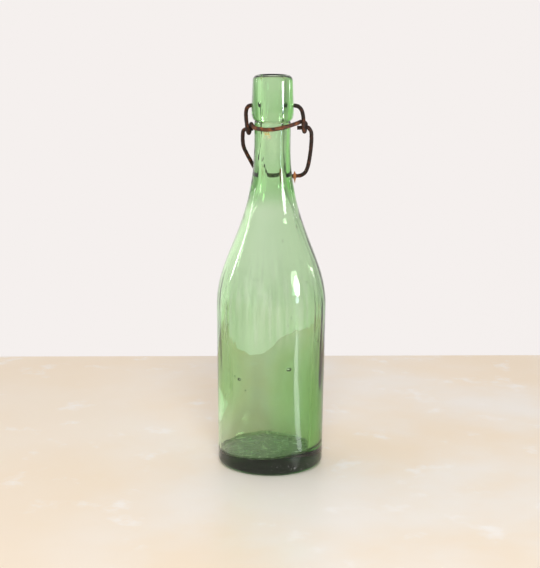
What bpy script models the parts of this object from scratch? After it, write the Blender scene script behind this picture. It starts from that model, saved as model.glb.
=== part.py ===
"""A 75 cl swing top bottle: a glass bottle with its locking lever and its bail, both bent from round wire.

Metres, +Z up. The bottle stands on z = 0 with its axis on the Z axis, and the lever's bow is at its
front, on -Y.
"""

from math import atan2, ceil, cos, pi, radians, sin, tan

import bmesh
import bpy
from mathutils import Vector

MM = 0.001

# Bottle, outside (millimetres)
BODY_RADIUS = 43.3
FOOT_RADIUS = 41.9
HEEL_ROUND = 4.5
SHOULDER_START = 130.0
SHOULDER_PULL = 41.0
NECK_RADIUS = 14.1
NECK_START = 258.0
NECK_PULL = 67.5
NECK_TOP = 275.6
FINISH_RADIUS = 16.4
FINISH_ROUND_TOP = 283.2
LIP_START = 305.5
LIP_RADIUS = 15.5
LIP_CREST_RADIUS = 11.5
BOTTLE_HEIGHT = 310.3

# Bottle, inside. NECK_INSIDE goes up from the domed top of the hollow, through the choke, to the bore
BORE_RADIUS = 9.2
BORE_LIP_DEPTH = 3.5
NECK_BORE_RADIUS = 7.9
NECK_BORE_TOP = 272.0
NECK_INSIDE = (
    (18.2, 201.0),
    (16.0, 207.5),
    (13.2, 213.5),
    (10.4, 219.0),
    (8.4, 224.5),
    (7.7, 231.0),
    (NECK_BORE_RADIUS, 243.0),
)
BODY_WALL = 6.2
SHOULDER_WALL = 4.7
THINNING = (110.0, 165.0)
SHOULDER_INSIDE_TOP = 198.0
FLOOR_HEIGHT = 12.5
FLOOR_ROUND = 3.5
FLOOR_CROWN = 0.6

# Underside: a flat bearing ring around a shallow push-up
RING_INNER_RADIUS = 30.0
PUSH_UP = 5.0

# Wire closure
WIRE_RADIUS = 1.35
PIVOT_HEIGHT = 286.9
SOCKET_RADIUS = 1.95
SOCKET_END = 12.8
TIP_END = 13.3
EYE_RADIUS = 3.5
LEFT_EYE_HEIGHT = 269.1
RIGHT_EYE_HEIGHT = 270.4
LEFT_EYE_X = -17.0
RIGHT_EYE_X = 24.5
STUB_DROP = 0.3
WIRE_STEP = 1.8

AROUND = 48
COIL_STEPS = 15

EYE_AXIS_TILT = atan2(RIGHT_EYE_HEIGHT - LEFT_EYE_HEIGHT, RIGHT_EYE_X - LEFT_EYE_X)


def material(name, colour, roughness, metallic=0.0, transmission=0.0):
    """A Principled material with one plain colour."""
    made = bpy.data.materials.new(name)
    made.use_nodes = True
    shader = made.node_tree.nodes["Principled BSDF"]
    shader.inputs["Base Color"].default_value = (*colour, 1.0)
    shader.inputs["Roughness"].default_value = roughness
    shader.inputs["Metallic"].default_value = metallic
    shader.inputs["Transmission Weight"].default_value = transmission
    return made


def arc(centre, radii, start, end, steps):
    """Points (radius, height) of an elliptical arc, with angles in degrees from the +radius direction."""
    points = []
    for step in range(steps + 1):
        angle = radians(start + (end - start) * step / steps)
        points.append((centre[0] + radii[0] * cos(angle), centre[1] + radii[1] * sin(angle)))
    return points


def bezier(start, start_pull, end_pull, end, steps):
    """Points of a cubic curve that leaves and arrives along the vertical."""
    handles = (start, (start[0], start[1] + start_pull), (end[0], end[1] - end_pull), end)
    points = []
    for step in range(steps + 1):
        t = step / steps
        weights = ((1 - t) ** 3, 3 * t * (1 - t) ** 2, 3 * t * t * (1 - t), t**3)
        points.append(tuple(sum(w * h[axis] for w, h in zip(weights, handles)) for axis in (0, 1)))
    return points


def push_up_height(radius):
    """Height of the underside within the bearing ring."""
    return PUSH_UP * (0.5 + 0.5 * cos(pi * radius / RING_INNER_RADIUS))


def shoulder_curve():
    """The outer skin from the top of the straight body to the foot of the straight neck."""
    return bezier((BODY_RADIUS, SHOULDER_START), SHOULDER_PULL, NECK_PULL, (NECK_RADIUS, NECK_START), 18)


def wall_at(height):
    """The wall's thickness, which eases from the body's to the shoulder's."""
    share = min(1.0, max(0.0, (height - THINNING[0]) / (THINNING[1] - THINNING[0])))
    return BODY_WALL + (SHOULDER_WALL - BODY_WALL) * share * share * (3.0 - 2.0 * share)


def outside_profile():
    """From the axis under the push-up round to the crest of the lip."""
    points = [(radius, push_up_height(radius)) for radius in (0.0, 7.5, 15.0, 22.5, RING_INNER_RADIUS)]
    points += arc((FOOT_RADIUS - HEEL_ROUND, HEEL_ROUND), (HEEL_ROUND, HEEL_ROUND), -90, 0, 5)
    points += shoulder_curve()
    round_size = (FINISH_RADIUS - NECK_RADIUS, FINISH_ROUND_TOP - NECK_TOP)
    points += arc((NECK_RADIUS, FINISH_ROUND_TOP), round_size, -90, 0, 5)
    lip_size = (LIP_RADIUS - LIP_CREST_RADIUS, BOTTLE_HEIGHT - LIP_START)
    points += arc((LIP_CREST_RADIUS, LIP_START), lip_size, 0, 90, 5)
    return points


def inside_profile():
    """From just inside the crest of the lip down the bore to the axis on the floor."""
    lip_size = (LIP_CREST_RADIUS - BORE_RADIUS, BORE_LIP_DEPTH)
    points = arc((LIP_CREST_RADIUS, BOTTLE_HEIGHT - BORE_LIP_DEPTH), lip_size, 90, 180, 4)[1:]
    points.append((NECK_BORE_RADIUS, NECK_BORE_TOP))
    points += reversed(NECK_INSIDE)
    shoulder = [(radius - wall_at(height), height) for radius, height in shoulder_curve()]
    points += reversed([point for point in shoulder if point[1] < SHOULDER_INSIDE_TOP])
    foot_wall = FOOT_RADIUS - BODY_WALL
    floor_centre = (foot_wall - FLOOR_ROUND, FLOOR_HEIGHT + FLOOR_ROUND)
    points += arc(floor_centre, (FLOOR_ROUND, FLOOR_ROUND), 0, -90, 4)
    points += [(foot_wall / 3, FLOOR_HEIGHT + FLOOR_CROWN), (0.0, FLOOR_HEIGHT + FLOOR_CROWN)]
    return points


def lathe(name, profile):
    """A solid of revolution about Z, from a half section that starts and ends on the axis."""
    shape = bmesh.new()
    ring = [shape.verts.new((radius * MM, 0.0, height * MM)) for radius, height in profile]
    edges = [shape.edges.new(pair) for pair in zip(ring, ring[1:])]
    bmesh.ops.spin(
        shape, geom=ring + edges, axis=(0, 0, 1), cent=(0, 0, 0), angle=2 * pi, steps=AROUND, use_merge=True
    )
    bmesh.ops.remove_doubles(shape, verts=shape.verts, dist=1e-6)
    bmesh.ops.recalc_face_normals(shape, faces=shape.faces)
    mesh = bpy.data.meshes.new(name)
    shape.to_mesh(mesh)
    shape.free()
    mesh.shade_smooth()
    mesh.set_sharp_from_angle(angle=radians(40))
    made = bpy.data.objects.new(name, mesh)
    bpy.context.collection.objects.link(made)
    return made


def socket_cutter(side):
    """A round bar on the lever's pivot axis that cuts one socket into the finish."""
    length = FINISH_RADIUS + 3.0 - SOCKET_END
    shape = bmesh.new()
    bmesh.ops.create_cone(
        shape,
        cap_ends=True,
        segments=20,
        radius1=SOCKET_RADIUS * MM,
        radius2=SOCKET_RADIUS * MM,
        depth=length * MM,
    )
    mesh = bpy.data.meshes.new("socket_cutter")
    shape.to_mesh(mesh)
    shape.free()
    cutter = bpy.data.objects.new("socket_cutter", mesh)
    cutter.rotation_euler = (0.0, pi / 2, 0.0)
    cutter.location = (side * (SOCKET_END + length / 2) * MM, 0.0, PIVOT_HEIGHT * MM)
    cutter.hide_render = True
    cutter.display_type = "WIRE"
    bpy.context.collection.objects.link(cutter)
    return cutter


def build_bottle(glass):
    bottle = lathe("glass_bottle", outside_profile() + inside_profile())
    bottle.data.materials.append(glass)
    for side in (-1, 1):
        cut = bottle.modifiers.new("socket", "BOOLEAN")
        cut.operation = "DIFFERENCE"
        cut.solver = "EXACT"
        cut.object = socket_cutter(side)
    return bottle


def eye_point(x):
    """The point of the eyes' common axis at x."""
    return Vector((x, 0.0, LEFT_EYE_HEIGHT + (x - LEFT_EYE_X) * tan(EYE_AXIS_TILT)))


def stub_point(x):
    """The point of the bail's pivot axis at x: the stubs hang a little low in the eyes."""
    return eye_point(x) - Vector((0.0, 0.0, STUB_DROP))


def eye_turn(first_x, last_x, first_angle, last_angle):
    """Centre-line points of one eye. Its angle is 0 in front of the bail's stub and 90 degrees above it."""
    up = Vector((-sin(EYE_AXIS_TILT), 0.0, cos(EYE_AXIS_TILT)))
    front = Vector((0.0, -1.0, 0.0))
    points = []
    for step in range(COIL_STEPS + 1):
        share = step / COIL_STEPS
        angle = radians(first_angle + (last_angle - first_angle) * share)
        centre = eye_point(first_x + (last_x - first_x) * share)
        points.append(centre + EYE_RADIUS * (cos(angle) * front + sin(angle) * up))
    return points


def smooth_path(points):
    """Points about WIRE_STEP apart on a centripetal Catmull-Rom curve through the given ones."""
    knots = [Vector(point) for point in points]
    knots = [2 * knots[0] - knots[1], *knots, 2 * knots[-1] - knots[-2]]
    path = []
    for before, start, end, after in zip(knots, knots[1:], knots[2:], knots[3:]):
        t1 = (start - before).length ** 0.5
        t2 = t1 + (end - start).length ** 0.5
        t3 = t2 + (after - end).length ** 0.5
        count = max(1, ceil((end - start).length / WIRE_STEP))
        for step in range(count):
            t = t1 + (t2 - t1) * step / count
            a1 = before.lerp(start, t / t1)
            a2 = start.lerp(end, (t - t1) / (t2 - t1))
            a3 = end.lerp(after, (t - t2) / (t3 - t2))
            b1 = a1.lerp(a2, t / t2)
            b2 = a2.lerp(a3, (t - t1) / (t3 - t1))
            path.append(b1.lerp(b2, (t - t1) / (t2 - t1)))
    path.append(knots[-2])
    return path


def lever_path():
    """From the left tip down the left arm, round its eye, along the bow, and back up on the right."""
    left_arm = [
        (-TIP_END, 0.0, PIVOT_HEIGHT),
        (-16.6, 0.0, PIVOT_HEIGHT),
        (-18.7, 0.0, 286.2),
        (-20.1, -0.2, 284.1),
        (-20.5, -0.8, 280.8),
        (-20.3, -1.9, 276.6),
        (-19.8, -3.0, 272.6),
    ]
    bow = [
        (-15.4, -4.4, 271.6),
        (-13.6, -8.8, 270.5),
        (-9.3, -13.6, 270.1),
        (-3.6, -16.1, 270.0),
        (2.4, -16.25, 270.5),
        (8.4, -14.8, 271.6),
        (13.6, -11.6, 272.8),
        (17.6, -7.6, 273.7),
        (20.0, -4.0, 274.3),
        (21.5, -0.9, 274.6),
        (23.3, 1.3, 274.4),
        (25.2, 2.2, 273.5),
    ]
    right_arm = [
        (23.8, -3.4, 274.2),
        (23.7, -2.3, 277.6),
        (23.2, -1.0, 280.8),
        (22.1, -0.2, 283.8),
        (20.3, 0.0, 286.0),
        (17.6, 0.0, PIVOT_HEIGHT),
        (TIP_END, 0.0, PIVOT_HEIGHT),
    ]
    left_eye = eye_turn(-19.3, -16.15, -5, -280)
    right_eye = eye_turn(25.9, 23.8, 150, 355)
    return smooth_path(left_arm + left_eye + bow + right_eye + right_arm)


def bail_path():
    """From the left stub down the left leg, behind the neck, and back up to the right stub."""
    left_leg = [
        (-22.4, 0.7, 267.4),
        (-23.0, 2.1, 264.1),
        (-23.0, 4.2, 259.4),
        (-22.4, 6.4, 254.4),
        (-20.2, 9.0, 249.0),
        (-17.0, 12.0, 242.6),
        (-13.8, 15.0, 236.3),
        (-10.8, 17.0, 231.6),
    ]
    crossbar = [
        (-6.8, 17.8, 229.6),
        (0.0, 17.8, 229.3),
        (9.0, 17.8, 229.4),
        (17.0, 17.8, 229.8),
        (22.6, 17.6, 230.4),
    ]
    right_leg = [
        (26.0, 16.6, 232.9),
        (28.0, 14.3, 238.0),
        (29.4, 10.8, 246.4),
        (30.1, 6.6, 254.6),
        (30.3, 3.2, 261.6),
        (29.8, 1.0, 267.0),
    ]
    left_stub = [stub_point(x) for x in (-14.9, -17.6, -20.4)]
    right_stub = [stub_point(x) for x in (27.4, 23.2, 19.0)]
    return smooth_path(left_stub + left_leg + crossbar + right_leg + right_stub)


def build_wire(name, path, pivot, finish):
    """A round wire along a path, with its object's origin on the joint's axis."""
    curve = bpy.data.curves.new(name, "CURVE")
    curve.dimensions = "3D"
    curve.bevel_depth = WIRE_RADIUS * MM
    curve.bevel_resolution = 2
    curve.resolution_u = 1
    curve.render_resolution_u = 0
    curve.use_fill_caps = True
    curve.materials.append(finish)
    spline = curve.splines.new("POLY")
    spline.points.add(len(path) - 1)
    for point, place in zip(spline.points, path):
        point.co = (*((place - pivot) * MM), 1.0)
    wire = bpy.data.objects.new(name, curve)
    wire.location = pivot * MM
    bpy.context.collection.objects.link(wire)
    return wire


def main():
    for old in list(bpy.data.objects):
        bpy.data.objects.remove(old)
    glass = material("green_glass", (0.42, 0.68, 0.40), 0.05, transmission=1.0)
    rust = material("rusty_wire", (0.16, 0.07, 0.04), 0.75, metallic=0.5)
    bottle = build_bottle(glass)
    lever = build_wire("lever_wire", lever_path(), Vector((0.0, 0.0, PIVOT_HEIGHT)), rust)
    bail = build_wire("bail_wire", bail_path(), stub_point(0.0), rust)
    for wire in (lever, bail):
        wire.parent = bottle


main()
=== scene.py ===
"""Looks for the swing top bottle: uneven green glass, rusted wires, a pale table and soft window light.

Metres and +Z up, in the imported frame. The bottle stands on z = 0 with its axis on the Z axis, and the
lever's bow is at its front, on -Y. Lengths of the bottle and its wires are written in millimetres, and
those of the masks, the stage, the lights and the camera in metres.
"""

from math import atan2, ceil, cos, exp, hypot, pi, radians, sin, tan

import bmesh
import bpy
from mathutils import Euler, Matrix, Vector, noise


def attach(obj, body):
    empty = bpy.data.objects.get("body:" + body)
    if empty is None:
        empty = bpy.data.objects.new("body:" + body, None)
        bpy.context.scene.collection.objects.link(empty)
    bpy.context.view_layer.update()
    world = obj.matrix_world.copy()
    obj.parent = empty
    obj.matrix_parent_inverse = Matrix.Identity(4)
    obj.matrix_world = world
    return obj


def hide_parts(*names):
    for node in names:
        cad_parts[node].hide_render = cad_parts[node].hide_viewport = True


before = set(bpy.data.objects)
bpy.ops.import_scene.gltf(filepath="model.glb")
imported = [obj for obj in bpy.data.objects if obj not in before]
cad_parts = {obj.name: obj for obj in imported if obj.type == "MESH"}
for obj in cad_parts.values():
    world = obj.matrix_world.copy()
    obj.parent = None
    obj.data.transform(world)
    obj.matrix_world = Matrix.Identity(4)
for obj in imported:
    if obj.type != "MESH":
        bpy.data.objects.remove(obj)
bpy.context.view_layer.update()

MM = 0.001

# Bottle, outside (millimetres)
BODY_RADIUS = 43.3
FOOT_RADIUS = 41.9
HEEL_ROUND = 4.5
SHOULDER_START = 130.0
SHOULDER_PULL = 41.0
NECK_RADIUS = 14.1
NECK_START = 258.0
NECK_PULL = 67.5
NECK_TOP = 275.6
FINISH_RADIUS = 16.4
FINISH_ROUND_TOP = 283.2
LIP_START = 305.5
LIP_RADIUS = 15.5
LIP_CREST_RADIUS = 11.5
BOTTLE_HEIGHT = 310.3

# Bottle, inside
BORE_RADIUS = 9.2
BORE_LIP_DEPTH = 3.5
NECK_BORE_RADIUS = 7.9
NECK_BORE_TOP = 272.0
NECK_INSIDE = (
    (18.2, 201.0),
    (16.0, 207.5),
    (13.2, 213.5),
    (10.4, 219.0),
    (8.4, 224.5),
    (7.7, 231.0),
    (NECK_BORE_RADIUS, 243.0),
)
BODY_WALL = 6.2
SHOULDER_WALL = 4.7
THINNING = (110.0, 165.0)
SHOULDER_INSIDE_TOP = 198.0
FLOOR_HEIGHT = 12.5
FLOOR_ROUND = 3.5
FLOOR_CROWN = 0.6
RING_INNER_RADIUS = 30.0
PUSH_UP = 5.0

# Uneven skins: glass settled on the right and thinned at the left foot, a leaning floor, and a groove
# under the finish. Sides are cosines of the angle from +X.
RIGHT_SETTLED = 4.6
RIGHT_SIDES = (-0.25, 0.55)
RIGHT_HEIGHTS = (55.0, 130.0)
LEFT_SETTLED = 1.6
LEFT_SIDES = (0.4, 1.0)
LEFT_HEIGHTS = (60.0, 130.0)
LEFT_THINNED = 5.6
THINNED_HEIGHTS = (12.0, 70.0)
SETTLED_RADII = (5.0, 36.0)
FLOOR_TILT = 0.06
LEVEL_FROM = (14.0, 60.0)
SEAM_HEIGHT = 275.2
SEAM_DEPTH = 1.5
SEAM_HALF_WIDTH = 0.55
SEAM_WANDER = 0.5

# Waves in the skins: depth, size round the wall, size along the height, and seed. LINES and SEAM_WAVE
# have their depths apart.
OUTSIDE_WAVES = ((0.05, 9.0, 45.0, 3.0), (0.015, 2.5, 30.0, 11.0))
OUTSIDE_DIP = 0.06
INSIDE_WAVES = ((0.35, 40.0, 80.0, 5.0), (0.09, 8.0, 70.0, 17.0))
NECK_WAVES = ((0.22, 34.0, 16.0, 41.0), (0.03, 6.0, 50.0, 53.0))
LINES = (2.6, 34.0, 29.0)
LINE_DEPTH = 0.025
LINED_DEPTH = 0.045
SEAM_WAVE = (14.0, 1.0, 7.5)

# Heights and radii between which the waves come in or die away
HEEL_RADII = (8.0, 14.0)
HEEL_HEIGHTS = (0.5, 8.5)
LIP_HEIGHTS = (303.0, 309.0)
FLOOR_RADII = (0.0, 12.0)
FINISH_HEIGHTS = (270.0, 300.0)
NECK_HEIGHTS = ((205.0, 230.0), (294.0, 304.0))
LINED_HEIGHTS = ((92.0, 112.0), (145.0, 175.0))

# Bubbles: angle from the front in degrees, height, half width and half height
BUBBLE_DEPTH = 1.3
BUBBLE_COVER = 0.7
BUBBLES = (
    (19.6, 87.1, 2.1, 1.4),
    (-36.1, 77.4, 1.6, 1.1),
    (-28.0, 69.4, 0.45, 0.6),
    (17.9, 122.4, 0.45, 0.6),
    (-51.0, 119.6, 0.6, 0.5),
    (21.0, 128.5, 0.4, 0.5),
    (-31.9, 144.7, 0.35, 0.45),
    (53.3, 194.7, 0.5, 1.6),
    (44.1, 154.1, 0.5, 0.9),
    (29.9, 167.9, 0.35, 0.35),
    (25.3, 180.5, 0.3, 0.3),
    (6.7, 7.7, 0.35, 0.35),
    (-7.2, 9.4, 0.4, 0.3),
    (2.0, 5.5, 0.3, 0.5),
    (118.0, 96.0, 1.1, 0.9),
    (200.0, 140.0, 0.35, 0.45),
    (250.0, 66.0, 0.6, 0.8),
    (160.0, 176.0, 0.5, 1.4),
)

# Wire closure
WIRE_RADIUS = 1.35
PIVOT_HEIGHT = 286.9
SOCKET_RADIUS = 1.95
SOCKET_END = 12.8
TIP_END = 13.3
EYE_RADIUS = 3.5
LEFT_EYE_HEIGHT = 269.1
RIGHT_EYE_HEIGHT = 270.4
LEFT_EYE_X = -17.0
RIGHT_EYE_X = 24.5
STUB_DROP = 0.3
EYE_AXIS_TILT = atan2(RIGHT_EYE_HEIGHT - LEFT_EYE_HEIGHT, RIGHT_EYE_X - LEFT_EYE_X)

# Mesh detail
GLASS_AROUND = 240
GLASS_STEP = 1.6
WIRE_STEP = 0.4
WIRE_AROUND = 18
COIL_STEPS = 15
RING_STEPS = 16
ROUND_STEPS = 12
SHOULDER_STEPS = 70
FINISH_STEPS = 24
SEAM_ROWS = 12
SEAM_ROW_HEIGHT = 0.25
BORE_LIP_STEPS = 10
FLOOR_ROUND_STEPS = 14
NECK_INSIDE_STEPS = 6
BUBBLE_DETAIL = 3
SOCKET_AROUND = 40
CUTTER_EXTRA = 3.0
WIRE_SHARP_ANGLE = 50

# Rust on the wires: shares of the bare wire's radius, sizes of its grains, and the drip on the crossbar
CRUST = 1.16
PIT_DEPTH = 0.18
GRAIN_DEPTH = 0.03
PIT_START = 0.05
PIT_SIZE = 1.7
GRAIN_SIZE = 0.55
SWELL_SIZE = 6.0
DRIP = Vector((17.8, 17.7, 229.9))
DRIP_HALF_WIDTH = 0.7
DRIP_REACH = 2.2
DRIP_DEPTH = 5.6
DRIP_ABOVE = 0.75

# Glass: masks as the pairs between which they rise or fall, and dullness from 0 (clear) to 1
GLASS_IOR = 1.5
GLASS_COLOUR = (0.40, 0.74, 0.28, 1.0)
GLASS_DENSITY = 100.0
CLEAR = (1.0, 1.0, 1.0, 1.0)
WITHIN_WALL = (0.0385, 0.0395)
ON_OUTER_WALL = (0.0395, 0.0405)
# Painted shade: below this height the underside is painted dull and near black, standing for the shade
# under the base.
PAINTED_SHADE_TOP = (0.0052, 0.0056)
UNDERSIDE_PAINTED_SHADE = (0.008, 0.011, 0.006, 1.0)
PAINTED_SHADE_DULLNESS = 0.85
FLOOR_TOP = (0.0134, 0.0142)
FILM_COLOUR = (0.82, 0.90, 0.68, 1.0)
FILM_DULLNESS = (0.30, 0.50)
STAIN_SIDES = ((-0.0090, -0.0055), (-0.0030, 0.0005))
STAIN_HEIGHTS = ((0.2605, 0.2650), (0.2690, 0.2700))
STAIN_BACK = (-0.0122, -0.0118)
STAIN_COLOUR = (0.78, 0.56, 0.20, 1.0)
STAIN_DULLNESS = 0.45
SCUFF_TOP = (0.0080, 0.0120)
SCUFF_SIDES = (-0.030, 0.020)
SCUFF_SHARE = (0.0, 0.9)
SCUFF_DULLNESS = 0.50
HAZE_HEIGHTS = ((0.098, 0.118), (0.140, 0.175))
HAZE_STRETCH = (1.0, 1.0, 0.06)
HAZE_DULLNESS = 0.09
DULL_ROUGHNESS = 0.6

# Rusted steel: colours along the ramp, and where the rust is more orange
RUST_RAMP = (
    (0.46, (0.014, 0.007, 0.005, 1.0)),
    (0.57, (0.042, 0.016, 0.010, 1.0)),
    (0.70, (0.16, 0.055, 0.022, 1.0)),
    (0.86, (0.46, 0.17, 0.06, 1.0)),
)
BOW_BACK = (-0.010, -0.003)
BOW_RUST = 0.14
DRIP_SIDES = (0.0006, 0.0017)
DRIP_FRONT = (0.0140, 0.0150)
DRIP_RUST = 0.40
RUST_ROUGHNESS = (0.55, 0.95)
RUST_BUMP = 0.6
RUST_BUMP_HEIGHT = 0.0003

# Stage: the table's colours, and the share of the pale one that is left on its warm left side
TABLE_BACK = 0.317
TABLE_SKEW = 0.036
TABLE_REACH = 3.0
TABLE_WARM = (0.92, 0.79, 0.62, 1.0)
TABLE_PALE = (0.92, 0.88, 0.82, 1.0)
TABLE_SPOT = (0.97, 0.95, 0.92, 1.0)
SPOT_STRENGTH = 0.7
WARM_SIDE = (-0.20, -0.02)
WARM_SIDE_SHARE = 0.30
TABLE_ROUGHNESS = (0.35, 0.50)
WALL_COLOUR = (0.913, 0.871, 0.855, 1.0)

# Surround: cosines from its bright side, which is behind the bottle and to its left, then heights, each
# with the share of light at the dim end
BRIGHT_SIDE = Vector((-0.8, 0.6, 0.0))
DIM_TO_BRIGHT = (-0.9, 0.5)
DIM_SHARE = 0.40
GLOW_EDGE = (0.76, 0.95)
GLOW = 1.4
CEILING = (0.35, 0.85)
CEILING_SHARE = 0.80

# Lights: place, size, radiance and colour
WHITE = (1.0, 1.0, 1.0)
WINDOWS = (
    ("window_upper", (1.29, -0.77, 0.47), (0.46, 0.46), 16.0, WHITE),
    ("window_lower", (1.25, -0.84, 0.18), (0.26, 0.20), 8.0, (0.70, 0.92, 1.0)),
    ("side_strip", (-1.2, 0.32, 0.72), (0.07, 0.90), 16.0, WHITE),
    ("far_strip", (1.2, 0.56, 0.31), (0.04, 0.20), 14.0, WHITE),
)
TABLE_GLINT = ("table_glint", (0.224, -0.168, 0.003), (0.042, 0.40), 3.2, (0.92, 0.97, 1.0))
FRONT_LIGHT = ("front", (0.1, -1.9, 1.15), (1.0, 0.8), 13.0, (1.0, 0.98, 0.95))

# Camera, with its tilts in degrees and its lens in millimetres
CAMERA_PLACE = (-0.0011, -1.1, 0.39)
CAMERA_PITCH = 12.5
CAMERA_ROLL = 0.4
CAMERA_LENS = 90.25
SENSOR_WIDTH = 36.0


# ---------------------------------------------------------------- shapes


def arc(centre, radii, start, end, steps):
    """Points (radius, height) of an elliptical arc, with angles in degrees from the +radius direction."""
    points = []
    for step in range(steps + 1):
        angle = radians(start + (end - start) * step / steps)
        points.append((centre[0] + radii[0] * cos(angle), centre[1] + radii[1] * sin(angle)))
    return points


def bezier(start, start_pull, end_pull, end, steps):
    """Points of a cubic curve that leaves and arrives along the vertical."""
    handles = (start, (start[0], start[1] + start_pull), (end[0], end[1] - end_pull), end)
    points = []
    for step in range(steps + 1):
        t = step / steps
        weights = ((1 - t) ** 3, 3 * t * (1 - t) ** 2, 3 * t * t * (1 - t), t**3)
        points.append(tuple(sum(w * h[axis] for w, h in zip(weights, handles)) for axis in (0, 1)))
    return points


def evenly(points, step):
    """The same line with long stretches divided into steps."""
    dense = [points[0]]
    for start, end in zip(points, points[1:]):
        count = max(1, ceil(hypot(end[0] - start[0], end[1] - start[1]) / step))
        for i in range(1, count + 1):
            share = i / count
            dense.append(tuple(a + (b - a) * share for a, b in zip(start, end)))
    return dense


def push_up_height(radius):
    """Height of the underside within the bearing ring."""
    return PUSH_UP * (0.5 + 0.5 * cos(pi * radius / RING_INNER_RADIUS))


def shoulder_outside():
    """The outer skin's points from the top of the body to the foot of the neck."""
    body, neck = (BODY_RADIUS, SHOULDER_START), (NECK_RADIUS, NECK_START)
    return bezier(body, SHOULDER_PULL, NECK_PULL, neck, SHOULDER_STEPS)


def outside_profile():
    """From the axis under the push-up round to the crest of the lip."""
    ring = [RING_INNER_RADIUS * step / RING_STEPS for step in range(RING_STEPS + 1)]
    points = [(radius, push_up_height(radius)) for radius in ring]
    heel = (FOOT_RADIUS - HEEL_ROUND, HEEL_ROUND)
    points += arc(heel, (HEEL_ROUND, HEEL_ROUND), -90, 0, ROUND_STEPS)
    points += shoulder_outside()
    round_size = (FINISH_RADIUS - NECK_RADIUS, FINISH_ROUND_TOP - NECK_TOP)
    seam_foot = NECK_TOP - SEAM_ROWS * SEAM_ROW_HEIGHT
    points += [(NECK_RADIUS, seam_foot + SEAM_ROW_HEIGHT * row) for row in range(SEAM_ROWS)]
    points += arc((NECK_RADIUS, FINISH_ROUND_TOP), round_size, -90, 0, FINISH_STEPS)
    lip_size = (LIP_RADIUS - LIP_CREST_RADIUS, BOTTLE_HEIGHT - LIP_START)
    points += arc((LIP_CREST_RADIUS, LIP_START), lip_size, 0, 90, ROUND_STEPS)
    return evenly(points, GLASS_STEP)


def smooth_line(points, steps):
    """Points of a Catmull-Rom line through the given ones."""
    knots = [points[0], *points, points[-1]]
    line = []
    for around in zip(knots, knots[1:], knots[2:], knots[3:]):
        for step in range(steps):
            t = step / steps
            weights = (
                t * (t * (2 - t) - 1),
                t * t * (3 * t - 5) + 2,
                t * (t * (4 - 3 * t) + 1),
                t * t * (t - 1),
            )
            line.append(tuple(sum(w * p[axis] for w, p in zip(weights, around)) / 2 for axis in (0, 1)))
    return [*line, points[-1]]


def rising(value, low, high):
    """From 0 at low to 1 at high, in a straight line."""
    return min(1.0, max(0.0, (value - low) / (high - low)))


def smooth(value, low, high):
    """From 0 at low to 1 at high, easing at both ends."""
    share = rising(value, low, high)
    return share * share * (3.0 - 2.0 * share)


def between(value, rise, fall):
    """Near 1 from the end of rise to the start of fall, easing to 0 outside them."""
    return smooth(value, *rise) * (1.0 - smooth(value, *fall))


def shoulder_inside():
    """The inner skin of the shoulder: the outer one less a wall that is thinner towards the neck."""
    inner = []
    for radius, height in shoulder_outside():
        if height < SHOULDER_INSIDE_TOP:
            wall = BODY_WALL + (SHOULDER_WALL - BODY_WALL) * smooth(height, *THINNING)
            inner.append((radius - wall, height))
    return inner


def inside_profile():
    """From the crest of the lip down the bore to the axis on the floor."""
    lip_size = (LIP_CREST_RADIUS - BORE_RADIUS, BORE_LIP_DEPTH)
    lip = (LIP_CREST_RADIUS, BOTTLE_HEIGHT - BORE_LIP_DEPTH)
    points = arc(lip, lip_size, 90, 180, BORE_LIP_STEPS)
    points.append((NECK_BORE_RADIUS, NECK_BORE_TOP))
    points += reversed(smooth_line(NECK_INSIDE, NECK_INSIDE_STEPS))
    points += reversed(shoulder_inside())
    foot_wall = FOOT_RADIUS - BODY_WALL
    floor_centre = (foot_wall - FLOOR_ROUND, FLOOR_HEIGHT + FLOOR_ROUND)
    points += arc(floor_centre, (FLOOR_ROUND, FLOOR_ROUND), 0, -90, FLOOR_ROUND_STEPS)
    points += [(foot_wall / 3, FLOOR_HEIGHT + FLOOR_CROWN), (0.0, FLOOR_HEIGHT + FLOOR_CROWN)]
    return evenly(points, GLASS_STEP)


OUTSIDE = outside_profile()


def drawn_out(angle, height, across, along, seed):
    """Smooth noise from about -1 to 1. across is its size round the wall and along its size in height."""
    scale = BODY_RADIUS / across
    place = Vector((scale * cos(angle), scale * sin(angle), height / along + seed))
    return noise.noise(place) * 2.0


def waves(angle, height, layers, start=0.0):
    """The sum of layers of drawn-out noise, each with its depth, sizes and seed."""
    return sum((depth * drawn_out(angle, height, *layer) for depth, *layer in layers), start)


def outside_point(angle, radius, height):
    """The outer skin: slightly wavy below the finish, and never outside the plain shape."""
    wave = waves(angle, height, OUTSIDE_WAVES, OUTSIDE_DIP)
    wall = rising(radius, *HEEL_RADII) * rising(height, *HEEL_HEIGHTS)
    radius -= max(0.0, wave) * wall * (1.0 - rising(height, *LIP_HEIGHTS))
    seam = SEAM_HEIGHT + SEAM_WANDER * drawn_out(angle, 0.0, *SEAM_WAVE)
    radius -= SEAM_DEPTH * exp(-(((height - seam) / SEAM_HALF_WIDTH) ** 2))
    return Vector((radius * cos(angle), radius * sin(angle), height))


def settled_glass(side, height):
    """How much thicker than plain the wall is. side is the cosine of the angle from +X."""
    right = RIGHT_SETTLED * smooth(side, *RIGHT_SIDES) * (1.0 - smooth(height, *RIGHT_HEIGHTS))
    left = LEFT_SETTLED * (1.0 - smooth(height, *LEFT_HEIGHTS))
    left -= LEFT_THINNED * (1.0 - smooth(height, *THINNED_HEIGHTS))
    return right + left * smooth(-side, *LEFT_SIDES)


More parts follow.
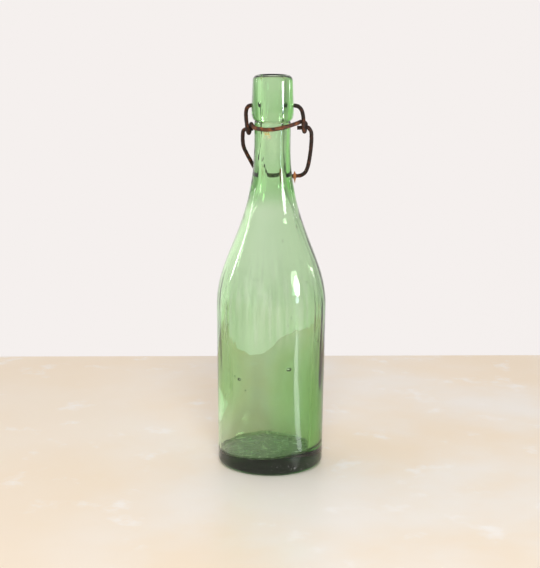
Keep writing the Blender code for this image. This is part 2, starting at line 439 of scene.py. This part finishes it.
def inside_point(angle, radius, height):
    """The inner skin: uneven, as blown glass is, with glass settled towards the foot on the +X side."""
    wall = rising(radius, *FLOOR_RADII) * (1.0 - rising(height, *FINISH_HEIGHTS))
    line_depth = LINE_DEPTH + LINED_DEPTH * between(height, *LINED_HEIGHTS)
    wave = waves(angle, height, INSIDE_WAVES) + line_depth * drawn_out(angle, height, *LINES)
    radius -= waves(angle, height, NECK_WAVES) * between(height, *NECK_HEIGHTS)
    settled = settled_glass(cos(angle), height) * smooth(radius, *SETTLED_RADII)
    radius += (wave * wall - settled) * radius / BODY_RADIUS
    x, y = radius * cos(angle), radius * sin(angle)
    height += FLOOR_TILT * x * (1.0 - smooth(height, *LEVEL_FROM))
    return Vector((x, y, height))


def add_rings(shape, profile, place, first=None):
    """Rings of points for a profile, as rows; a point on the axis is a row of one."""
    rows = []
    for index, (radius, height) in enumerate(profile):
        if index == 0 and first is not None:
            rows.append(first)
        elif radius < 1e-6:
            rows.append([shape.verts.new(place(0.0, 0.0, height) * MM)])
        else:
            row = []
            for step in range(GLASS_AROUND):
                angle = 2 * pi * step / GLASS_AROUND
                row.append(shape.verts.new(place(angle, radius, height) * MM))
            rows.append(row)
    return rows


def join_rows(shape, rows):
    """Faces between each ring of points and the next."""
    for low, high in zip(rows, rows[1:]):
        for step in range(GLASS_AROUND):
            after = (step + 1) % GLASS_AROUND
            if len(low) == 1:
                corners = (low[0], high[after], high[step])
            elif len(high) == 1:
                corners = (low[step], low[after], high[0])
            else:
                corners = (low[step], low[after], high[after], high[step])
            shape.faces.new(corners)


def mesh_object(name, shape, smooth_angle=None):
    """A linked object from a bmesh, with smooth shading."""
    mesh = bpy.data.meshes.new(name)
    shape.to_mesh(mesh)
    shape.free()
    mesh.shade_smooth()
    if smooth_angle:
        mesh.set_sharp_from_angle(angle=radians(smooth_angle))
    made = bpy.data.objects.new(name, mesh)
    bpy.context.scene.collection.objects.link(made)
    return made


def socket_cutter(side):
    """A round bar on the lever's pivot axis that cuts one socket into the finish."""
    length = FINISH_RADIUS + CUTTER_EXTRA - SOCKET_END
    shape = bmesh.new()
    bmesh.ops.create_cone(
        shape,
        cap_ends=True,
        segments=SOCKET_AROUND,
        radius1=SOCKET_RADIUS * MM,
        radius2=SOCKET_RADIUS * MM,
        depth=length * MM,
        matrix=Matrix.Translation((side * (SOCKET_END + length / 2) * MM, 0, PIVOT_HEIGHT * MM))
        @ Matrix.Rotation(pi / 2, 4, "Y"),
    )
    return mesh_object("socket_cutter", shape)


def cut_sockets(bottle):
    """The two sockets in the finish for the lever's tips."""
    for side in (-1, 1):
        cutter = socket_cutter(side)
        cut = bottle.modifiers.new("socket", "BOOLEAN")
        cut.operation = "DIFFERENCE"
        cut.solver = "EXACT"
        cut.object = cutter
        with bpy.context.temp_override(object=bottle, active_object=bottle):
            bpy.ops.object.modifier_apply(modifier=cut.name)
        bpy.data.objects.remove(cutter)


def outer_radius(height):
    """The outside's radius at a height above the heel and below the lip."""
    for low, high in zip(OUTSIDE, OUTSIDE[1:]):
        if low[1] <= height < high[1] and low[0] > RING_INNER_RADIUS / 3:
            return low[0] + (high[0] - low[0]) * (height - low[1]) / (high[1] - low[1])
    return NECK_RADIUS


def add_bubbles(bottle):
    """Small closed bubbles inside the glass, longer along or round the wall than through it."""
    shape = bmesh.new()
    shape.from_mesh(bottle.data)
    for angle, height, across, along in BUBBLES:
        deep = min(BUBBLE_DEPTH, across)
        radius = outer_radius(height) - deep - BUBBLE_COVER
        place = Matrix.Rotation(radians(angle), 4, "Z") @ Matrix.Translation((0, -radius * MM, height * MM))
        place @= Matrix.Diagonal((across * MM, deep * MM, along * MM, 1.0))
        made = bmesh.ops.create_icosphere(shape, subdivisions=BUBBLE_DETAIL, radius=1.0, matrix=place)
        faces = {face for vert in made["verts"] for face in vert.link_faces}
        bmesh.ops.reverse_faces(shape, faces=list(faces))
        for face in faces:
            face.smooth = True
    shape.to_mesh(bottle.data)
    shape.free()


def build_bottle(glass):
    """The whole bottle: both skins joined at the lip, with its sockets and bubbles."""
    shape = bmesh.new()
    rows = add_rings(shape, OUTSIDE, outside_point)
    crest = rows[-1]
    join_rows(shape, rows)
    join_rows(shape, add_rings(shape, inside_profile(), inside_point, crest))
    bmesh.ops.recalc_face_normals(shape, faces=shape.faces)
    bottle = mesh_object("green_bottle", shape)
    cut_sockets(bottle)
    add_bubbles(bottle)
    bottle.data.materials.append(glass)
    return bottle


# ---------------------------------------------------------------- wires


def eye_point(x):
    """The point of the eyes' common axis at x."""
    return Vector((x, 0.0, LEFT_EYE_HEIGHT + (x - LEFT_EYE_X) * tan(EYE_AXIS_TILT)))


def stub_point(x):
    """The point of the bail's pivot axis at x: the stubs hang a little low in the eyes."""
    return eye_point(x) - Vector((0.0, 0.0, STUB_DROP))


def eye_turn(first_x, last_x, first_angle, last_angle):
    """Centre-line points of one eye. Its angle is 0 in front of the bail's stub and 90 degrees above it."""
    up = Vector((-sin(EYE_AXIS_TILT), 0.0, cos(EYE_AXIS_TILT)))
    front = Vector((0.0, -1.0, 0.0))
    points = []
    for step in range(COIL_STEPS + 1):
        share = step / COIL_STEPS
        angle = radians(first_angle + (last_angle - first_angle) * share)
        centre = eye_point(first_x + (last_x - first_x) * share)
        points.append(centre + EYE_RADIUS * (cos(angle) * front + sin(angle) * up))
    return points


def smooth_path(points):
    """Points about WIRE_STEP apart on a centripetal Catmull-Rom curve through the given ones."""
    knots = [Vector(point) for point in points]
    knots = [2 * knots[0] - knots[1], *knots, 2 * knots[-1] - knots[-2]]
    path = []
    for before, start, end, after in zip(knots, knots[1:], knots[2:], knots[3:]):
        t1 = (start - before).length ** 0.5
        t2 = t1 + (end - start).length ** 0.5
        t3 = t2 + (after - end).length ** 0.5
        count = max(1, ceil((end - start).length / WIRE_STEP))
        for step in range(count):
            t = t1 + (t2 - t1) * step / count
            a1 = before.lerp(start, t / t1)
            a2 = start.lerp(end, (t - t1) / (t2 - t1))
            a3 = end.lerp(after, (t - t2) / (t3 - t2))
            b1 = a1.lerp(a2, t / t2)
            b2 = a2.lerp(a3, (t - t1) / (t3 - t1))
            path.append(b1.lerp(b2, (t - t1) / (t2 - t1)))
    path.append(knots[-2])
    return path


def lever_path():
    """From the left tip down the left arm, round its eye, along the bow, and back up on the right."""
    left_arm = [
        (-TIP_END, 0.0, PIVOT_HEIGHT),
        (-16.6, 0.0, PIVOT_HEIGHT),
        (-18.7, 0.0, 286.2),
        (-20.1, -0.2, 284.1),
        (-20.5, -0.8, 280.8),
        (-20.3, -1.9, 276.6),
        (-19.8, -3.0, 272.6),
    ]
    bow = [
        (-15.4, -4.4, 271.6),
        (-13.6, -8.8, 270.5),
        (-9.3, -13.6, 270.1),
        (-3.6, -16.1, 270.0),
        (2.4, -16.25, 270.5),
        (8.4, -14.8, 271.6),
        (13.6, -11.6, 272.8),
        (17.6, -7.6, 273.7),
        (20.0, -4.0, 274.3),
        (21.5, -0.9, 274.6),
        (23.3, 1.3, 274.4),
        (25.2, 2.2, 273.5),
    ]
    right_arm = [
        (23.8, -3.4, 274.2),
        (23.7, -2.3, 277.6),
        (23.2, -1.0, 280.8),
        (22.1, -0.2, 283.8),
        (20.3, 0.0, 286.0),
        (17.6, 0.0, PIVOT_HEIGHT),
        (TIP_END, 0.0, PIVOT_HEIGHT),
    ]
    left_eye = eye_turn(-19.3, -16.15, -5, -280)
    right_eye = eye_turn(25.9, 23.8, 150, 355)
    return smooth_path(left_arm + left_eye + bow + right_eye + right_arm)


def bail_path():
    """From the left stub down the left leg, behind the neck, and back up to the right stub."""
    left_leg = [
        (-22.4, 0.7, 267.4),
        (-23.0, 2.1, 264.1),
        (-23.0, 4.2, 259.4),
        (-22.4, 6.4, 254.4),
        (-20.2, 9.0, 249.0),
        (-17.0, 12.0, 242.6),
        (-13.8, 15.0, 236.3),
        (-10.8, 17.0, 231.6),
    ]
    crossbar = [
        (-6.8, 17.8, 229.6),
        (0.0, 17.8, 229.3),
        (9.0, 17.8, 229.4),
        (17.0, 17.8, 229.8),
        (22.6, 17.6, 230.4),
    ]
    right_leg = [
        (26.0, 16.6, 232.9),
        (28.0, 14.3, 238.0),
        (29.4, 10.8, 246.4),
        (30.1, 6.6, 254.6),
        (30.3, 3.2, 261.6),
        (29.8, 1.0, 267.0),
    ]
    left_stub = [stub_point(x) for x in (-14.9, -17.6, -20.4)]
    right_stub = [stub_point(x) for x in (27.4, 23.2, 19.0)]
    return smooth_path(left_stub + left_leg + crossbar + right_leg + right_stub)


def corroded_radius(place, seed):
    """The wire's radius at a point of its surface: soft pits, a fine crust and one drip."""
    shift = Vector((seed, 0.0, 0.0))
    pits = max(0.0, noise.noise(place / PIT_SIZE + shift) - PIT_START)
    grain = noise.noise(place / GRAIN_SIZE + shift)
    swell = noise.noise(place / SWELL_SIZE + shift)
    offset = place - DRIP
    near = exp(-((offset.x / DRIP_HALF_WIDTH) ** 2)) * exp(-((offset.length / DRIP_REACH) ** 2))
    drip = DRIP_DEPTH * near * (offset.z / WIRE_RADIUS) ** 4 * (DRIP_ABOVE if offset.z > 0.0 else 1.0)
    return WIRE_RADIUS * (CRUST - PIT_DEPTH * pits + GRAIN_DEPTH * grain + GRAIN_DEPTH * swell) + drip


def build_wire(name, path, seed, finish):
    """A round wire swept along a path, with rounded ends and a corroded surface."""
    shape = bmesh.new()
    tangents = [(b - a).normalized() for a, b in zip([path[0]] + path, path[1:] + [path[-1]])]
    tangents[0] = (path[1] - path[0]).normalized()
    side = tangents[0].orthogonal().normalized()
    rings = []
    for place, tangent in zip(path, tangents):
        side = (side - tangent * side.dot(tangent)).normalized()
        other = tangent.cross(side)
        ring = []
        for step in range(WIRE_AROUND):
            angle = 2 * pi * step / WIRE_AROUND
            out = cos(angle) * side + sin(angle) * other
            radius = corroded_radius(place + out * WIRE_RADIUS, seed)
            ring.append(shape.verts.new((place + out * radius) * MM))
        rings.append(ring)
    for first, second in zip(rings, rings[1:]):
        for step in range(WIRE_AROUND):
            after = (step + 1) % WIRE_AROUND
            shape.faces.new((first[step], first[after], second[after], second[step]))
    shape.faces.new(list(reversed(rings[0])))
    shape.faces.new(rings[-1])
    bmesh.ops.recalc_face_normals(shape, faces=shape.faces)
    wire = mesh_object(name, shape, WIRE_SHARP_ANGLE)
    wire.data.materials.append(finish)
    return wire


# ---------------------------------------------------------------- materials


def new_material(name):
    """A material with its node tree and its Principled shader."""
    made = bpy.data.materials.new(name)
    made.use_nodes = True
    return made, made.node_tree, made.node_tree.nodes["Principled BSDF"]


def object_coordinates(tree):
    """The object coordinates as a vector, and as sockets named X, Y and Z."""
    coords = tree.nodes.new("ShaderNodeTexCoord").outputs["Object"]
    parts = tree.nodes.new("ShaderNodeSeparateXYZ")
    tree.links.new(coords, parts.inputs["Vector"])
    return coords, parts.outputs


def math_node(tree, operation, first, second=0.0, third=0.0):
    """A Math node's output. Each input is a number or a socket."""
    node = tree.nodes.new("ShaderNodeMath")
    node.operation = operation
    for socket, value in zip(node.inputs, (first, second, third)):
        if isinstance(value, bpy.types.NodeSocket):
            tree.links.new(value, socket)
        else:
            socket.default_value = value
    return node.outputs[0]


def product(tree, *factors):
    """The product of sockets and numbers."""
    result = factors[0]
    for factor in factors[1:]:
        result = math_node(tree, "MULTIPLY", result, factor)
    return result


def greatest(tree, *values):
    """The greatest of sockets and numbers."""
    result = values[0]
    for value in values[1:]:
        result = math_node(tree, "MAXIMUM", result, value)
    return result


def ranged(tree, value, from_low, from_high, to_low=0.0, to_high=1.0):
    """A Map Range node's output, clamped and eased."""
    node = tree.nodes.new("ShaderNodeMapRange")
    node.interpolation_type = "SMOOTHSTEP"
    tree.links.new(value, node.inputs["Value"])
    numbers = {"From Min": from_low, "From Max": from_high, "To Min": to_low, "To Max": to_high}
    for name, number in numbers.items():
        node.inputs[name].default_value = number
    return node.outputs["Result"]


def falling(tree, value, low, high):
    """1 below low, easing to 0 above high."""
    return ranged(tree, value, low, high, 1.0, 0.0)


def band(tree, value, rise, fall):
    """1 between rise and fall, easing to 0 outside them."""
    return product(tree, ranged(tree, value, *rise), falling(tree, value, *fall))


def noise_node(tree, coords, scale, detail=4.0, roughness=0.5):
    """A noise texture's value, mostly from 0.3 to 0.7. scale is the number of cells in a metre."""
    node = tree.nodes.new("ShaderNodeTexNoise")
    node.inputs["Scale"].default_value = scale
    node.inputs["Detail"].default_value = detail
    node.inputs["Roughness"].default_value = roughness
    tree.links.new(coords, node.inputs["Vector"])
    return node.outputs["Fac"]


def mix_colour(tree, share, first, second):
    """From the first colour to the second by share. Each colour is a value or a socket."""
    node = tree.nodes.new("ShaderNodeMix")
    node.data_type = "RGBA"
    tree.links.new(share, node.inputs["Factor"])
    for socket, value in ((node.inputs["A"], first), (node.inputs["B"], second)):
        if isinstance(value, bpy.types.NodeSocket):
            tree.links.new(value, socket)
        else:
            socket.default_value = value
    return node.outputs["Result"]


def stain_mask(tree, coords, place):
    """Runs of rust below the bow, on the front of the neck."""
    return product(
        tree,
        band(tree, place["X"], *STAIN_SIDES),
        band(tree, place["Z"], *STAIN_HEIGHTS),
        falling(tree, place["Y"], *STAIN_BACK),
        ranged(tree, noise_node(tree, coords, 420.0, 3.0, 0.6), 0.40, 0.60),
    )


def scuff_mask(tree, coords, place, radius):
    """Fine pale chips round the heel, more of them on the +X side."""
    return product(
        tree,
        ranged(tree, noise_node(tree, coords, 900.0, 2.0, 0.6), 0.64, 0.70),
        ranged(tree, place["X"], *SCUFF_SIDES, *SCUFF_SHARE),
        falling(tree, place["Z"], *SCUFF_TOP),
        ranged(tree, radius, *ON_OUTER_WALL),
    )


def haze_mask(tree, coords, place):
    """Upright streaks of haze round the top of the body."""
    drawn = tree.nodes.new("ShaderNodeVectorMath")
    drawn.operation = "MULTIPLY"
    drawn.inputs[1].default_value = HAZE_STRETCH
    tree.links.new(coords, drawn.inputs[0])
    streaks = ranged(tree, noise_node(tree, drawn.outputs["Vector"], 260.0, 3.0, 0.5), 0.40, 0.66)
    return product(tree, streaks, band(tree, place["Z"], *HAZE_HEIGHTS))


def glass_material():
    """Clear green glass with a dull film on the inside floor, scuffs round the heel, and painted shade on
    the underside, which is dull and near black.
    """
    made, tree, shader = new_material("green_glass")
    coords, place = object_coordinates(tree)
    squares = (math_node(tree, "POWER", place[axis], 2.0) for axis in "XY")
    radius = math_node(tree, "SQRT", math_node(tree, "ADD", *squares))
    within = falling(tree, radius, *WITHIN_WALL)
    # Painted shade: the mask of the underside, which is painted near black.
    painted_shade_under = product(tree, falling(tree, place["Z"], *PAINTED_SHADE_TOP), within)
    level = math_node(tree, "SUBTRACT", place["Z"], product(tree, place["X"], FLOOR_TILT))
    above_painted_shade = math_node(tree, "GREATER_THAN", place["Z"], PAINTED_SHADE_TOP[1])
    floor = product(tree, falling(tree, level, *FLOOR_TOP), within, above_painted_shade)
    mottle = noise_node(tree, coords, 150.0, 4.0, 0.5)
    stain = stain_mask(tree, coords, place)
    colour = mix_colour(tree, floor, CLEAR, FILM_COLOUR)
    colour = mix_colour(tree, stain, colour, STAIN_COLOUR)
    # Painted shade: the underside's near-black colour.
    colour = mix_colour(tree, painted_shade_under, colour, UNDERSIDE_PAINTED_SHADE)
    tree.links.new(colour, shader.inputs["Base Color"])
    dull = greatest(
        tree,
        product(tree, floor, ranged(tree, mottle, 0.3, 0.7, *FILM_DULLNESS)),
        # Painted shade: the underside made dull, so that its near-black colour shows.
        product(tree, painted_shade_under, PAINTED_SHADE_DULLNESS),
        product(tree, stain, STAIN_DULLNESS),
        product(tree, haze_mask(tree, coords, place), HAZE_DULLNESS),
        product(tree, scuff_mask(tree, coords, place, radius), SCUFF_DULLNESS),
    )
    tree.links.new(math_node(tree, "SUBTRACT", 1.0, dull), shader.inputs["Transmission Weight"])
    tree.links.new(product(tree, dull, DULL_ROUGHNESS), shader.inputs["Roughness"])
    shader.inputs["IOR"].default_value = GLASS_IOR
    absorption = tree.nodes.new("ShaderNodeVolumeAbsorption")
    absorption.inputs["Color"].default_value = GLASS_COLOUR
    absorption.inputs["Density"].default_value = GLASS_DENSITY
    tree.links.new(absorption.outputs["Volume"], tree.nodes["Material Output"].inputs["Volume"])
    return made


def rust_material():
    """Steel wire under dark brown rust, more orange on the bow in front and at the drip beside the neck."""
    made, tree, shader = new_material("rusty_steel")
    coords, place = object_coordinates(tree)
    patches = noise_node(tree, coords, 320.0, 8.0, 0.65)
    bow = product(tree, falling(tree, place["Y"], *BOW_BACK), BOW_RUST)
    beside = math_node(tree, "ABSOLUTE", math_node(tree, "SUBTRACT", place["X"], DRIP.x * MM))
    at_drip = product(tree, falling(tree, beside, *DRIP_SIDES), ranged(tree, place["Y"], *DRIP_FRONT))
    extra = greatest(tree, bow, product(tree, at_drip, DRIP_RUST))
    colours = tree.nodes.new("ShaderNodeValToRGB")
    elements = colours.color_ramp.elements
    while len(elements) < len(RUST_RAMP):
        elements.new(1.0)
    for element, (position, colour) in zip(elements, RUST_RAMP):
        element.position = position
        element.color = colour
    tree.links.new(math_node(tree, "ADD", patches, extra), colours.inputs["Fac"])
    tree.links.new(colours.outputs["Color"], shader.inputs["Base Color"])
    tree.links.new(ranged(tree, patches, 0.3, 0.7, *RUST_ROUGHNESS), shader.inputs["Roughness"])
    bump = tree.nodes.new("ShaderNodeBump")
    bump.inputs["Strength"].default_value = RUST_BUMP
    bump.inputs["Distance"].default_value = RUST_BUMP_HEIGHT
    tree.links.new(noise_node(tree, coords, 1500.0), bump.inputs["Height"])
    tree.links.new(bump.outputs["Normal"], shader.inputs["Normal"])
    return made


def table_material():
    """Pale stone, clouded with a warmer tone that grows towards the left, and with small light spots."""
    made, tree, shader = new_material("pale_table")
    coords, place = object_coordinates(tree)
    clouds = ranged(tree, noise_node(tree, coords, 5.0, 5.0), 0.35, 0.65)
    clouds = product(tree, clouds, ranged(tree, place["X"], *WARM_SIDE, WARM_SIDE_SHARE))
    spots = ranged(tree, noise_node(tree, coords, 24.0, 5.0, 0.6), 0.56, 0.72, 0.0, SPOT_STRENGTH)
    colour = mix_colour(tree, spots, mix_colour(tree, clouds, TABLE_WARM, TABLE_PALE), TABLE_SPOT)
    tree.links.new(colour, shader.inputs["Base Color"])
    gloss = ranged(tree, noise_node(tree, coords, 14.0), 0.3, 0.7, *TABLE_ROUGHNESS)
    tree.links.new(gloss, shader.inputs["Roughness"])
    return made


# ---------------------------------------------------------------- stage


def build_table():
    """A wide flat slab whose back edge gives the line that the glass bends."""
    shape = bmesh.new()
    front_corners = [(-TABLE_REACH, -TABLE_REACH), (TABLE_REACH, -TABLE_REACH)]
    back_corners = [(x, TABLE_BACK + TABLE_SKEW * x) for x in (TABLE_REACH, -TABLE_REACH)]
    shape.faces.new([shape.verts.new((x, y, 0.0)) for x, y in front_corners + back_corners])
    table = mesh_object("table", shape)
    table.data.materials.append(table_material())


def build_world():
    """A near-white surround: brighter to the left, dimmer to the right, in front and overhead."""
    world = bpy.data.worlds.new("room")
    world.use_nodes = True
    tree = world.node_tree
    coords = tree.nodes.new("ShaderNodeTexCoord").outputs["Generated"]
    towards = tree.nodes.new("ShaderNodeVectorMath")
    towards.operation = "DOT_PRODUCT"
    towards.inputs[1].default_value = BRIGHT_SIDE
    tree.links.new(coords, towards.inputs[0])
    height = tree.nodes.new("ShaderNodeSeparateXYZ")
    tree.links.new(coords, height.inputs["Vector"])
    strength = product(
        tree,
        ranged(tree, towards.outputs["Value"], *DIM_TO_BRIGHT, DIM_SHARE, 1.0),
        ranged(tree, height.outputs["Z"], *CEILING, 1.0, CEILING_SHARE),
        ranged(tree, towards.outputs["Value"], *GLOW_EDGE, 1.0, GLOW),
    )
    background = tree.nodes["Background"]
    background.inputs["Color"].default_value = WALL_COLOUR
    tree.links.new(strength, background.inputs["Strength"])
    bpy.context.scene.world = world


def area_light(name, place, size, radiance, colour):
    """A round or oval light that faces the foot of the bottle's axis and that the camera doesn't see."""
    data = bpy.data.lights.new(name, "AREA")
    data.shape = "ELLIPSE"
    data.size, data.size_y = size
    data.energy = radiance * pi * size[0] * size[1]
    data.color = colour
    light = bpy.data.objects.new(name, data)
    light.location = place
    light.rotation_euler = (-light.location).to_track_quat("-Z", "Y").to_euler()
    light.visible_camera = False
    bpy.context.scene.collection.objects.link(light)
    return light


def build_lights():
    """Windows and a strip on the table that only show in the glass, and a soft light for the table."""
    for window in WINDOWS:
        light = area_light(*window)
        facing = Vector((-light.location.x, -light.location.y, 0.0))
        light.rotation_euler = facing.to_track_quat("-Z", "Y").to_euler()
        light.visible_diffuse = False
    glint = area_light(*TABLE_GLINT)
    glint.rotation_euler = (pi, 0.0, atan2(glint.location.x, -glint.location.y))
    glint.visible_diffuse = False
    glint.visible_transmission = False
    front = area_light(*FRONT_LIGHT)
    front.visible_glossy = False
    front.visible_transmission = False


def build_camera():
    """The camera in front of the bottle, tilted down and rolled a little."""
    data = bpy.data.cameras.new("camera")
    data.lens = CAMERA_LENS
    data.sensor_width = SENSOR_WIDTH
    camera = bpy.data.objects.new("camera", data)
    camera.location = CAMERA_PLACE
    pitch = Euler((radians(90 - CAMERA_PITCH), 0.0, 0.0)).to_matrix().to_4x4()
    roll = Matrix.Rotation(radians(CAMERA_ROLL), 4, "Z")
    camera.rotation_euler = (pitch @ roll).to_euler()
    bpy.context.scene.collection.objects.link(camera)
    bpy.context.scene.camera = camera


def main():
    """The bottle and its wires in place of the CAD nodes, then the stage."""
    bpy.context.scene.view_settings.view_transform = "Standard"
    bottle = build_bottle(glass_material())
    rust = rust_material()
    lever = build_wire("lever_wire_rusted", lever_path(), 0.0, rust)
    bail = build_wire("bail_wire_rusted", bail_path(), 40.0, rust)
    for piece, node, body, slot in (
        (bottle, "glass_bottle", "bottle", "green_glass"),
        (lever, "lever_wire", "lever", "rusty_wire"),
        (bail, "bail_wire", "bail", "rusty_wire"),
    ):
        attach(piece, body)
        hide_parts(node)
    build_table()
    build_world()
    build_lights()
    build_camera()


main()
